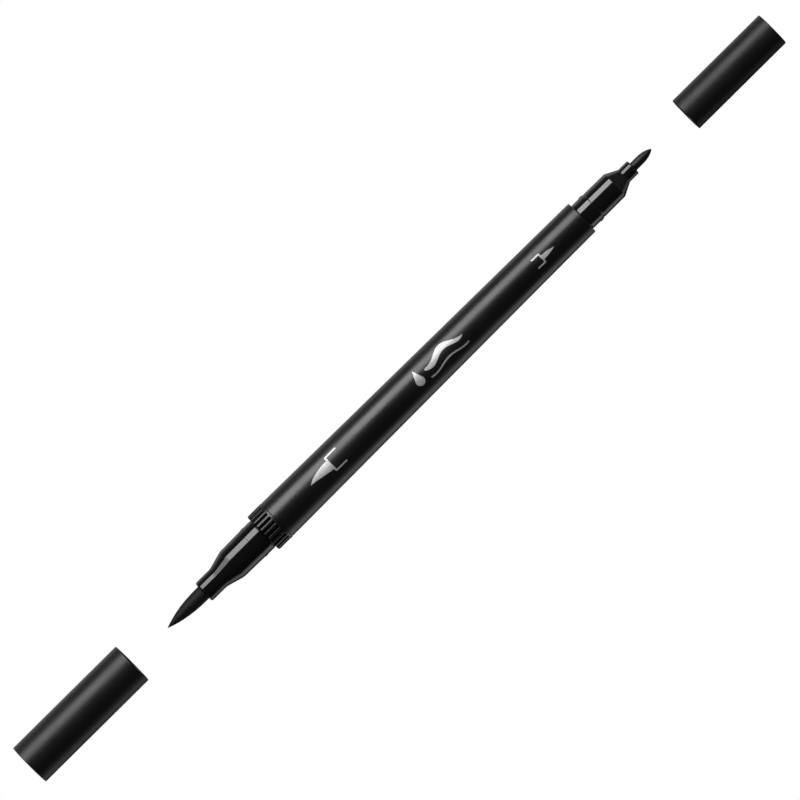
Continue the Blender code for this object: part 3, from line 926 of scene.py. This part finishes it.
def floor_material():
    """A white sweep that glows by itself. It looks plain white from overhead, with painted soft contact
    shadows from a low angle.

    What the pen mirrors of it glows with painted light and shade: bright on the -Y side past the pen's own
    painted shadow, less so beside the pen's ends, and dim on the +Y side, under the softbox.
    """
    material = bpy.data.materials.new("white_sweep")
    material.use_nodes = True
    tree = material.node_tree
    tree.nodes.clear()
    output = tree.nodes.new("ShaderNodeOutputMaterial")
    path = tree.nodes.new("ShaderNodeLightPath")
    place = tree.nodes.new("ShaderNodeNewGeometry")
    split = tree.nodes.new("ShaderNodeSeparateXYZ")
    tree.links.new(place.outputs["Position"], split.inputs[0])
    # Painted light and shade that the pen mirrors: a pool of light and the pen's own shadow, along Y and X.
    glow = painted_floor_light(tree, split.outputs["Y"], PAINTED_FLOOR_LIGHT, FLOOR_PEAK)
    along = painted_floor_light(tree, split.outputs["X"], PAINTED_FLOOR_LIGHT_ALONG, 1.0)
    far_side = math_node(tree, "GREATER_THAN", split.outputs["Y"], 0.0)
    glow = math_node(tree, "MULTIPLY", glow, math_node(tree, "MAXIMUM", along, far_side))

    # Painted contact shadow: ambient occlusion darkens the glow that the camera sees from a low angle.
    shade = tree.nodes.new("ShaderNodeAmbientOcclusion")
    shade.samples = SHADOW_SAMPLES
    shade.inputs["Distance"].default_value = SHADOW_REACH
    facing = tree.nodes.new("ShaderNodeVectorMath")
    facing.operation = "DOT_PRODUCT"
    tree.links.new(place.outputs["Normal"], facing.inputs[0])
    tree.links.new(place.outputs["Incoming"], facing.inputs[1])
    high_angle = math_node(tree, "MULTIPLY", facing.outputs["Value"], SHADOW_FADE)
    low_angle = math_node(tree, "MAXIMUM", math_node(tree, "SUBTRACT", 1.0, high_angle), 0.0)
    shadow = math_node(tree, "SUBTRACT", 1.0, shade.outputs["AO"])
    seen = math_node(tree, "SUBTRACT", 1.0, math_node(tree, "MULTIPLY", shadow, low_angle))

    mix = tree.nodes.new("ShaderNodeMixShader")
    tree.links.new(path.outputs["Is Camera Ray"], mix.inputs[0])
    tree.links.new(emission(tree, glow), mix.inputs[1])
    tree.links.new(emission(tree, seen), mix.inputs[2])
    tree.links.new(mix.outputs[0], output.inputs["Surface"])
    return material


def softbox_material(strength):
    """A softbox front, brightest above the pen's brush half and fading away along the pen."""
    material = bpy.data.materials.new("softbox")
    material.use_nodes = True
    tree = material.node_tree
    tree.nodes.clear()
    output = tree.nodes.new("ShaderNodeOutputMaterial")
    place = tree.nodes.new("ShaderNodeTexCoord")
    split = tree.nodes.new("ShaderNodeSeparateXYZ")
    tree.links.new(place.outputs["Object"], split.inputs[0])
    from_peak = math_node(tree, "SUBTRACT", split.outputs["X"], LIGHT_PEAK_X)
    away = math_node(tree, "DIVIDE", from_peak, LIGHT_FALLOFF)
    fade = math_node(tree, "DIVIDE", 1.0, math_node(tree, "ADD", math_node(tree, "POWER", away, 2.0), 1.0))
    fade = math_node(tree, "MAXIMUM", fade, LIGHT_DIMMEST)
    glow = emission(tree, math_node(tree, "MULTIPLY", fade, strength))
    tree.links.new(glow, output.inputs["Surface"])
    return material


def make_lights():
    """A long softbox up on the +Y side, a dark room round it, and a white surround for the camera alone."""
    tilt, half = math.radians(LIGHT_TILT_DEG), math.radians(LIGHT_OPENING_DEG) / 2
    width = 2 * LIGHT_REACH * math.tan(half)
    box = staged_plane("softbox", width, LIGHT_LENGTH, softbox_material(LIGHT_STRENGTH))
    box.location = (0, LIGHT_REACH * math.sin(tilt), LIGHT_REACH * math.cos(tilt))
    box.rotation_euler = (math.pi - tilt, 0, 0)
    box.visible_camera = False

    world = bpy.data.worlds.new("surround")
    bpy.context.scene.world = world
    world.use_nodes = True
    tree = world.node_tree
    tree.nodes.clear()
    output = tree.nodes.new("ShaderNodeOutputWorld")
    path = tree.nodes.new("ShaderNodeLightPath")
    direction = tree.nodes.new("ShaderNodeTexCoord")
    split = tree.nodes.new("ShaderNodeSeparateXYZ")
    tree.links.new(direction.outputs["Generated"], split.inputs[0])
    room = tree.nodes.new("ShaderNodeMapRange")
    tree.links.new(split.outputs["X"], room.inputs["Value"])
    room.inputs["From Min"].default_value, room.inputs["From Max"].default_value = ROOM_FINE_END
    room.inputs["To Min"].default_value = ROOM_GLOW
    room.inputs["To Max"].default_value = ROOM_GLOW_FINE_END
    mix = tree.nodes.new("ShaderNodeMixShader")
    tree.links.new(path.outputs["Is Camera Ray"], mix.inputs[0])
    mirrored, seen = (tree.nodes.new("ShaderNodeBackground") for _ in range(2))
    for background, socket in ((mirrored, mix.inputs[1]), (seen, mix.inputs[2])):
        background.inputs["Color"].default_value = (1, 1, 1, 1)
        tree.links.new(background.outputs[0], socket)
    tree.links.new(room.outputs["Result"], mirrored.inputs["Strength"])
    tree.links.new(mix.outputs[0], output.inputs["Surface"])


def make_camera():
    """Straight overhead, rolled so that the pen runs from lower left to upper right."""
    data = bpy.data.cameras.new("overhead")
    data.sensor_width = SENSOR_WIDTH
    data.lens = SENSOR_WIDTH * CAMERA_DISTANCE / FRAME_WIDTH
    data.clip_end = CAMERA_SEES_TO
    camera = bpy.data.objects.new("overhead", data)
    bpy.context.scene.collection.objects.link(camera)
    roll = Matrix.Rotation(math.radians(-CAMERA_ROLL_DEG), 4, "Z")
    across, up = CAMERA_SHIFT
    camera.matrix_world = roll @ Matrix.Translation((across, up, CAMERA_DISTANCE))
    bpy.context.scene.camera = camera


def main():
    satin = satin_black("satin_black", BODY_ROUGHNESS)
    cap_satins = {
        "brush_cap": satin_black("satin_black_brush_cap", roughness=0.4, shine_level=0.39, tint=0.0008),
        "fine_cap": satin_black("satin_black_fine_cap", roughness=0.42, shine_level=0.36, tint=0.0014),
    }
    inner = natural_plastic()
    ink = silver_ink()

    make_barrel(satin)
    make_collar()
    make_section("brush_section", outward=-1, material=gloss_black("gloss_black_brush", ior=1.5))
    make_section("fine_section", outward=1, material=gloss_black("gloss_black_fine", ior=1.7))
    make_brush_nib(inked_felt())
    make_fine_nib(inked_fibre())
    for cap, cap_satin in cap_satins.items():
        make_cap_shell(f"{cap}_shell", cap, cap_satin)
        make_cap_seal(f"{cap}_seal", cap, inner)
        make_end_plug(f"{cap}_end_plug", cap, cap_satin)

    make_print("brush_sign_print", brush_sign(), ink)
    make_print("fine_sign_print", fine_sign(), ink)
    make_print("wave_sign_print", drop_sign() + wave_sign(), ink)

    carried = {"ink_store_core": store_fibre(), "ink_store_film": clear_film(), "breather_tube": inner}
    for node, material in carried.items():
        frame["nodes"][node].data.materials.clear()
        frame["nodes"][node].data.materials.append(material)

    floor = staged_plane("floor", FLOOR_SIZE, FLOOR_SIZE, floor_material())
    floor.location.z = cad_box[0].z - FLOOR_GAP
    make_lights()
    make_camera()
    bpy.context.scene.view_settings.view_transform = "Standard"


main()
